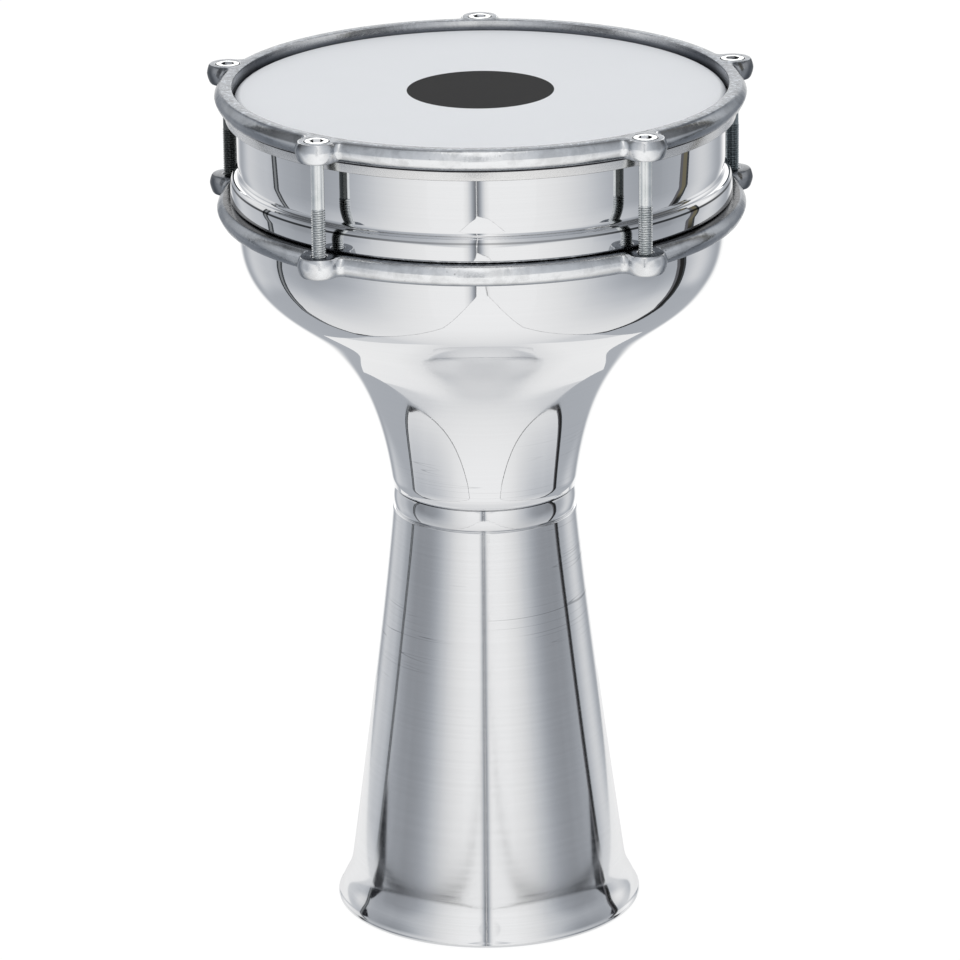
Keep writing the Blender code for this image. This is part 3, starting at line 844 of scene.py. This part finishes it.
def headFinish():
    colour = head["colour"]
    material, tree, shader = newMaterial("head_film", colour, 0.42, 0.0, Specular_IOR_Level=0.25)
    spot = placed(tree)
    parts, reach = spotAndReach(tree)
    frost = grain(spot, *head["frost"])
    cloud = fade(grain(spot, *head["cloud"]), *head["spread"])
    base = mixColours(cloud, opaque(colour, head["cloudTone"]), opaque(colour))
    inked = fade(reach, head["dotRadius"] + head["dotSoft"], head["dotRadius"] - head["dotSoft"])
    inked = times(inked, fade(parts[2], *head["topSide"]))
    feed(shader, "Base Color", mixColours(inked, base, opaque(head["ink"])))
    feed(shader, "Roughness", fade(frost, *head["spread"], *head["rough"]))
    feed(shader, "Specular IOR Level", fade(inked, 0.0, 1.0, *head["sheen"]))
    bumped(shader, inked, head["inkBump"], 1.0, bumped(shader, frost, head["frostBump"]))
    return material


headPiece = turned("head", buildHead(), headFinish(), closed=False)
finishPiece(headPiece, "head_film", "shell")
print("head is on")


channel = {
    "bore": 0.103, "width": 0.0038, "foot": 0.3518, "height": 0.0045, "wall": 0.0018, "floor": 0.0008,
    "lip": 0.0016, "lipWall": 0.0006, "round": 0.00035, "colour": (0.86, 0.855, 0.85),
    "lines": (60, 60, 5200), "speckle": 1500.0, "spread": (0.4, 0.6), "darker": 0.90,
    "rough": (0.35, 0.65, 0.22, 0.32), "bump": 0.000008,
    "topGapShade": (0.35535, 0.35555), "footLineShade": (0.0003, 0.0001, 0, 0.6), "gapShadeColour": (0.03, 0.03, 0.035, 1),
}


def buildChannel():
    bore, low, high = channel["bore"], channel["foot"], channel["foot"] + channel["height"]
    outer = bore + channel["width"]
    innerWall, lip = outer - channel["wall"], bore + channel["lipWall"]
    floorTop = low + channel["floor"]
    lipTop = floorTop + channel["lip"] - channel["lipWall"]
    return eased([(bore, low), (outer, low), (outer, high), (innerWall, high), (innerWall, floorTop), (lip, floorTop),
                  (lip, lipTop), (bore, lipTop)], channel["round"])


def channelFinish():
    colour = channel["colour"]
    material, tree, shader = newMaterial("flesh_hoop_brushed", colour, 0.3, Anisotropic=0.4, Anisotropic_Rotation=0.25)
    brushRound(tree, shader)
    lines = grain(placed(tree, channel["lines"], (0, 0, 1)), 1.0, 3.0, 0.6)
    both = plus(times(lines, 0.5), times(grain(placed(tree), channel["speckle"], 3.0, 0.65), 0.5))
    tone = mixColours(fade(both, *channel["spread"]), opaque(colour, channel["darker"]), opaque(colour))
    # painted shade in the gap under the hoop, and a fainter painted shade line along the foot
    height = split(coordinate(tree))[2]
    start, full, low, high = channel["footLineShade"]
    below = fade(height, channel["foot"] + start, channel["foot"] + full, low, high)
    gap = plus(fade(height, *channel["topGapShade"]), below)
    feed(shader, "Base Color", mixColours(gap, tone, channel["gapShadeColour"]))
    feed(shader, "Roughness", fade(both, *channel["rough"]))
    bumped(shader, both, channel["bump"])
    return material


channelPiece = turned("flesh_hoop_channel", buildChannel(), channelFinish())
finishPiece(channelPiece, "flesh_hoop", "hoop")
print("flesh hoop is rolled")


def ringOf(build, spot, radius, height, steps):
    turns = [math.tau * k / steps for k in range(steps)]
    return [build.verts.new(spot + Vector((radius * math.cos(turn), radius * math.sin(turn), height)))
            for turn in turns]


def bridge(build, rings):
    # faces between each ring of points and the next
    count = len(rings[0])
    for lower, upper in zip(rings, rings[1:]):
        for k in range(count):
            after = (k + 1) % count
            build.faces.new((lower[k], lower[after], upper[after], upper[k]))


def meshFrom(build, name):
    mesh = bpy.data.meshes.new(name)
    build.to_mesh(mesh)
    build.free()
    return mesh


casting = {
    "ears": 5, "circle": 0.1123, "height": 0.0084, "parting": 0.0046, "topRadius": 0.1088, "widest": 0.1112,
    "footRadius": 0.109, "earTop": 0.0079, "earWidest": 0.009, "earFoot": 0.0077, "blend": 0.003,
    "round": 0.0007, "ringFoot": 0.3085, "hoopFoot": 0.3566, "ringBore": 0.1029, "hoopBore": 0.1036,
    "recess": 0.0015, "lipDepth": 0.0052, "threadHole": 0.00325, "headHole": 0.0053, "headSeat": 0.3587,
    "holeSteps": 40, "slack": 0.00005,      # the wall stays this far inside the solid's
    # how far the outer wall is uneven: scale and depth of each wave, and the radius where it starts
    "wave": (120, 0.00012), "ripple": (420, 0.00005), "unevenFrom": 0.1045,
}


def earAngles():
    return [math.tau / 4 + math.tau * index / casting["ears"] for index in range(casting["ears"])]


def earedLoop(ring, ear, height):
    # ring, hollow blend, round ear and blend again, once for each ear
    circle, soft = casting["circle"], casting["blend"]
    reach = ring + soft
    turn = math.acos((reach ** 2 + circle ** 2 - (ear + soft) ** 2) / (2 * circle * reach))
    centre = (reach * math.cos(turn), reach * math.sin(turn))
    swing = math.degrees(math.atan2(centre[1], centre[0] - circle))
    blend = arc(centre, soft, swing - 180, math.degrees(turn) - 180, 8)
    half = [*arc((circle, 0), ear, 0, swing, 16), *blend[1:]]
    gap = math.pi / casting["ears"] - turn
    half += arc((0, 0), ring, math.degrees(turn), math.degrees(turn + gap), 18)[1:]
    pattern = [(x, -y) for x, y in reversed(half[1:-1])] + half
    loop = []
    for angle in earAngles():
        along, across = math.cos(angle), math.sin(angle)
        loop += [Vector((x * along - y * across, x * across + y * along, height)) for x, y in pattern]
    return loop


def outerWall():
    # radius of the ring and of its ears, height and the weight of the painted edge highlight, from the foot to the top
    high, mid, soft, slack = (casting[key] for key in ("height", "parting", "round", "slack"))
    wide, earWide = casting["widest"], casting["earWidest"]
    low, earLow = casting["footRadius"], casting["earFoot"]
    top, earTop = casting["topRadius"], casting["earTop"]
    rows = [(low - soft, earLow - soft, 0.0, 0.0), (low - soft * 0.35, earLow - soft * 0.35, soft * 0.15, 0.2)]
    for share in (-0.83, -0.6, -0.38, -0.18, 0.0, 0.18, 0.38, 0.6, 0.83):
        ring, ear, rise = (low, earLow, mid) if share < 0 else (top, earTop, high - mid)
        drop = abs(share) ** 1.5
        rows.append((wide + (ring - wide) * drop - slack, earWide + (ear - earWide) * drop - slack,
                     mid + rise * share, 0.4 if share > 0.8 else 0.0))
    return rows + [(top - soft * 0.35, earTop - soft * 0.35, high - soft * 0.15, 1.0),
                   (top - soft, earTop - soft, high, 0.5)]


def castBlank(name, foot, bore, seed):
    # the wall swells to its widest at the parting line, and its edges are rounded
    rows = [(earedLoop(ring, ear, foot + height), edge) for ring, ear, height, edge in outerWall()]
    outerTop = rows[-1][0]
    for radius, height, edge in bore:
        rows.append(([Vector((*(p.xy.normalized() * radius), height)) for p in outerTop], edge))
    waveScale, waveDepth = casting["wave"]
    rippleScale, rippleDepth = casting["ripple"]
    build = bmesh.new()
    edgeHighlightLayer = build.verts.layers.float.new("edge")
    rings = []
    for loop, edge in rows:
        rings.append([])
        for point in loop:
            out = point.xy.normalized()
            wave = noise.noise(point * waveScale + Vector((seed, 0, 0))) * waveDepth
            ripple = noise.noise(point * rippleScale + Vector((0, seed, 0))) * rippleDepth
            uneven = Vector((point.x - out.x * abs(wave + ripple), point.y - out.y * abs(wave + ripple), point.z))
            vert = build.verts.new(uneven if point.xy.length > casting["unevenFrom"] else point)
            vert[edgeHighlightLayer] = edge
            rings[-1].append(vert)
    bridge(build, rings + rings[:1])
    bmesh.ops.recalc_face_normals(build, faces=build.faces)
    if build.calc_volume(signed=True) < 0:
        bmesh.ops.reverse_faces(build, faces=build.faces)
    return linked(name, meshFrom(build, name))


def drillEars(piece, outline, bored):
    # one cutter holds the same hole for every ear
    build = bmesh.new()
    for angle in earAngles():
        spot = Vector((casting["circle"] * math.cos(angle), casting["circle"] * math.sin(angle), 0))
        rings = [ringOf(build, spot, radius, height, casting["holeSteps"]) for radius, height in outline]
        build.faces.new(list(reversed(rings[0])))
        build.faces.new(rings[-1])
        bridge(build, rings)
    bmesh.ops.recalc_face_normals(build, faces=build.faces)
    drill = linked(piece.name + "_drill", meshFrom(build, piece.name + "_drill"))
    drill.data.materials.append(bored)
    boolean = piece.modifiers.new("holes", 'BOOLEAN')
    boolean.operation = 'DIFFERENCE'
    boolean.solver = 'EXACT'
    boolean.object = drill
    boolean.material_mode = 'TRANSFER'
    settle(piece, 34)
    bpy.data.objects.remove(drill, do_unlink=True)


def buildLowerRing(material, bored):
    low = casting["ringFoot"]
    top = low + casting["height"]
    wide, thread = casting["ringBore"], casting["threadHole"]
    piece = castBlank("ring_casting", low, [(wide + 0.0005, top, 0.6), (wide, top - 0.0005, 0.9),
                                            (wide, low + 0.0005, 0.5), (wide + 0.0005, low, 0.6)], 3.0)
    piece.data.materials.append(material)
    # the cutter widens past both faces, so that the thread's mouths are bevelled
    drillEars(piece, [(thread + 0.0025, low - 0.002), (thread, low + 0.0005), (thread, top - 0.0005),
                      (thread + 0.0025, top + 0.002)], bored)
    return piece


def buildUpperHoop(material, bored):
    low = casting["hoopFoot"]
    top = low + casting["height"]
    ledge = top - casting["lipDepth"]
    narrow, wide = casting["hoopBore"], casting["hoopBore"] + casting["recess"]
    thread, headHole, seat = casting["threadHole"], casting["headHole"], casting["headSeat"]
    piece = castBlank("hoop_casting", low, [(narrow + 0.0009, top, 0.6), (narrow + 0.0003, top - 0.0002, 1.0),
                                            (narrow, top - 0.0008, 1.0), (narrow, ledge, 0.3), (wide, ledge, 0.0),
                                            (wide, low, 0.3)], 8.0)
    piece.data.materials.append(material)
    drillEars(piece, [(thread, low - 0.002), (thread, seat), (headHole, seat), (headHole, top - 0.0003),
                      (headHole + 0.0023, top + 0.002)], bored)
    return piece


ringCast = castMetal("ring_cast", {"colour": (0.92, 0.93, 0.94), "offset": (0.3, 0.1, 0), "shadow": (0.1048, 0.1066),
                                   "farTop": 0.0})
hoopCast = castMetal("hoop_cast", {"colour": (0.93, 0.94, 0.95), "offset": (0, 0.2, 0.4), "shadow": (0.080, 0.081),
                                   "farTop": 1.0})
ringPiece = buildLowerRing(ringCast, boreFinish("ring_bore_shaded", casting["ringFoot"] + casting["height"]))
hoopPiece = buildUpperHoop(hoopCast, boreFinish("hoop_bore_shaded", casting["hoopFoot"] + casting["height"]))
finishPiece(ringPiece, "lower_ring", "shell")
finishPiece(hoopPiece, "upper_hoop", "hoop")
print("castings are drilled")


screw = {
    "pitch": 0.001, "threadRadius": 0.00295, "threadDepth": 0.00055, "threadLength": 0.027, "shankRadius": 0.00268,
    "length": 0.05, "tipChamfer": 0.0006, "headRadius": 0.005, "headHeight": 0.006, "headChamfer": 0.0004,
    "socketFlats": 0.005, "socketDepth": 0.003, "seat": 0.359, "headSteps": 48, "runOut": 0.0012, "turn": 0.09,
    "headColour": (0.88, 0.90, 0.90, 1), "dark": (0.05, 0.052, 0.055, 1), "socketLight": (0.97, 0.97, 0.97, 1),
    "grooveColour": (0.14, 0.15, 0.16, 1), "headFrom": (0.3592, 0.3596),
    "bright": (0.84, 0.86, 0.86), "dull": (0.74, 0.77, 0.77), "film": (160.0, 3.0, 0.5), "filmSpread": (0.35, 0.62),
    "rough": (0.3, 0.7, 0.14, 0.24), "fine": (2400.0, 2.0, 0.5), "bump": 0.000003,
    "grooveDepth": (0.15, 0.75, 0.0, 0.40), "deepFrom": (0.02, 0.2), "sides": (0.30, 0.50),
    # shade: on the side towards the drum, and on those behind
    "inner": (-0.30, -0.60), "far": (0.0, 0.02), "farOutward": (0.98, 0.80, 0.0, 0.93), "farNormal": (0.30, 0.0),
}


def screwHead():
    # head with a six-sided socket, standing on z = 0
    steps, build = screw["headSteps"], bmesh.new()
    deep = build.verts.layers.float.new("deep")

    def ring(radius, height):
        return ringOf(build, Vector((0, 0, 0)), radius, height, steps)

    def six(flats, height):
        side = math.tau / 6
        loop = []
        for k in range(steps):
            turn = math.tau * k / steps
            reach = flats / 2 / math.cos(turn % side - side / 2)
            loop.append(build.verts.new((reach * math.cos(turn), reach * math.sin(turn), height)))
            loop[-1][deep] = 0.0 if height > top - 0.0001 else 1.0
        return loop

    top, wide, soft = screw["headHeight"], screw["headRadius"], screw["headChamfer"]
    flats, floor = screw["socketFlats"], screw["headHeight"] - screw["socketDepth"]
    loops = [ring(0.0015, 0), ring(wide - 0.0002, 0), ring(wide, 0.0002), ring(wide, top - soft),
             ring(wide - soft * 0.4, top - soft * 0.12), ring(wide - soft, top), ring(0.0034, top),
             six(flats * 1.08, top), six(flats, top - 0.0003), six(flats, floor), ring(0.0006, floor - 0.0007)]
    bridge(build, loops)
    build.faces.new(loops[-1])
    build.faces.new(list(reversed(loops[0])))
    return meshFrom(build, "screw_head")


def screwTree():
    # A threaded shank under a given head: the radius follows height and turn together, which makes the helix
    tree = bpy.data.node_groups.new("tension screw", "GeometryNodeTree")
    face = tree.interface
    face.new_socket("Head", in_out='INPUT', socket_type='NodeSocketGeometry')
    for label in ("pitch", "threadRadius", "threadDepth", "threadLength", "shankRadius", "length", "tipChamfer",
                  "runOut", "start"):
        face.new_socket(label, in_out='INPUT', socket_type='NodeSocketFloat')
    face.new_socket("place", in_out='INPUT', socket_type='NodeSocketVector')
    face.new_socket("Finish", in_out='INPUT', socket_type='NodeSocketMaterial')
    face.new_socket("Screw", in_out='OUTPUT', socket_type='NodeSocketGeometry')
    given = addNode(tree, "NodeGroupInput").outputs
    low = made(tree, "ShaderNodeCombineXYZ", {2: times(given["length"], -1.0)})
    line = made(tree, "GeometryNodeCurvePrimitiveLine", {"Start": low, "End": (0, 0, 0.0002)})
    fine = made(tree, "GeometryNodeResampleCurve", {"Curve": line, "Count": 330})
    hoop = made(tree, "GeometryNodeCurvePrimitiveCircle", {"Resolution": 28, "Radius": 0.002})
    tube = made(tree, "GeometryNodeCurveToMesh", {"Curve": fine, "Profile Curve": hoop, "Fill Caps": True})
    axes = split(made(tree, "GeometryNodeInputPosition"))
    turn = over(maths('ARCTAN2', axes[1], axes[0]), math.tau)
    # how far along its turn of the thread a point stands; the whole number only keeps it above zero
    phase = maths('FRACT', plus(minus(over(axes[2], given["pitch"]), turn), 200.25))
    ridge = maths('MINIMUM', times(absolute(minus(times(phase, 2.0), 1.0)), 1.25), 1.0)
    threadTop = minus(given["threadLength"], given["length"])
    cutRadius = plus(minus(given["threadRadius"], given["threadDepth"]), times(ridge, given["threadDepth"]))
    runOut = made(tree, "ShaderNodeMapRange", {"Value": axes[2], "From Min": threadTop,
                                               "From Max": plus(threadTop, given["runOut"])})
    threaded = minus(1.0, runOut)
    blend = plus(times(cutRadius, threaded), times(given["shankRadius"], runOut))
    tip = plus(minus(given["threadRadius"], given["tipChamfer"]), plus(axes[2], given["length"]))
    reach = maths('SQRT', plus(times(axes[0], axes[0]), times(axes[1], axes[1])))
    share = over(maths('MINIMUM', blend, tip), maths('MAXIMUM', reach, 0.000001))
    moved = made(tree, "ShaderNodeCombineXYZ", {0: times(axes[0], share), 1: times(axes[1], share),
                                                2: axes[2]})
    shank = made(tree, "GeometryNodeSetPosition", {"Geometry": tube, "Position": moved})
    # the thread's roots, kept for their painted shade
    shank = made(tree, "GeometryNodeStoreNamedAttribute",
                 {"Geometry": shank, "Name": "groove", "Value": times(minus(1.0, ridge), threaded)},
                 data_type='FLOAT')
    both = addNode(tree, "GeometryNodeJoinGeometry")
    tree.links.new(shank, both.inputs[0])
    tree.links.new(given["Head"], both.inputs[0])
    start = made(tree, "ShaderNodeCombineXYZ", {2: given["start"]})
    put = made(tree, "GeometryNodeTransform", {"Geometry": both.outputs[0], "Translation": given["place"],
                                               "Rotation": start})
    real = made(tree, "GeometryNodeRealizeInstances", {"Geometry": put})
    dressed = made(tree, "GeometryNodeSetMaterial", {"Geometry": real, "Material": given["Finish"]})
    addNode(tree, "NodeGroupOutput", {"Screw": dressed})
    return tree


def screwFinish(name, shade):
    # zinc plate, greyer where dust sits, with painted shade in the thread and on the side towards the drum
    material, tree, shader = newMaterial(name, screw["bright"], 0.18)
    spot = placed(tree)
    film = grain(spot, *screw["film"])
    tone = mixColours(fade(film, *screw["filmSpread"]), opaque(screw["dull"]), opaque(screw["bright"]))
    parts, reach = spotAndReach(tree)
    normal = split(coordinate(tree, "Normal"))
    outward = over(plus(times(normal[0], parts[0]), times(normal[1], parts[1])), reach)
    # painted shade in the thread's roots
    tone = mixColours(fade(attribute(tree, "groove"), *screw["grooveDepth"]), tone, screw["grooveColour"])
    # those behind are light only where they face away from the drum
    far = times(fade(parts[1], *screw["far"]), fade(outward, *screw["farOutward"]), fade(normal[1], *screw["farNormal"]))
    shaded = maths('MAXIMUM', fade(outward, *screw["inner"]), far)
    tone = mixColours(shaded, tone, dimmed(tone, opaque(shade)))
    # painted shade on the head and in its socket to their left and right, and a painted highlight on the socket's other
    # walls
    aside = fade(absolute(normal[0]), *screw["sides"])
    tone = mixColours(fade(parts[2], *screw["headFrom"]), tone, mixColours(aside, screw["headColour"], screw["dark"]))
    inside = mixColours(aside, screw["socketLight"], screw["dark"])
    feed(shader, "Base Color", mixColours(fade(attribute(tree, "deep"), *screw["deepFrom"]), tone, inside))
    feed(shader, "Roughness", fade(film, *screw["rough"]))
    bumped(shader, grain(spot, *screw["fine"]), screw["bump"])
    return material


# two copies of the same zinc that differ only in how dark their painted shade is
zinc = screwFinish("screw_zinc", (0.13, 0.135, 0.13))
zincPaleShade = screwFinish("screw_zinc_pale_shade", (0.32, 0.36, 0.38))
helix = screwTree()
for index, angle in enumerate(earAngles(), 1):
    place = (casting["circle"] * math.cos(angle), casting["circle"] * math.sin(angle), screw["seat"])
    values = {**screw, "place": place, "start": screw["turn"] * (index - 3), "Finish": zincPaleShade if index == 5 else zinc}
    piece = runTree(f"screw_{index}_threaded", helix, screwHead(), values, 40)
    finishPiece(piece, f"tension_screw_{index}", f"screw_{index}")
print("screws are in")
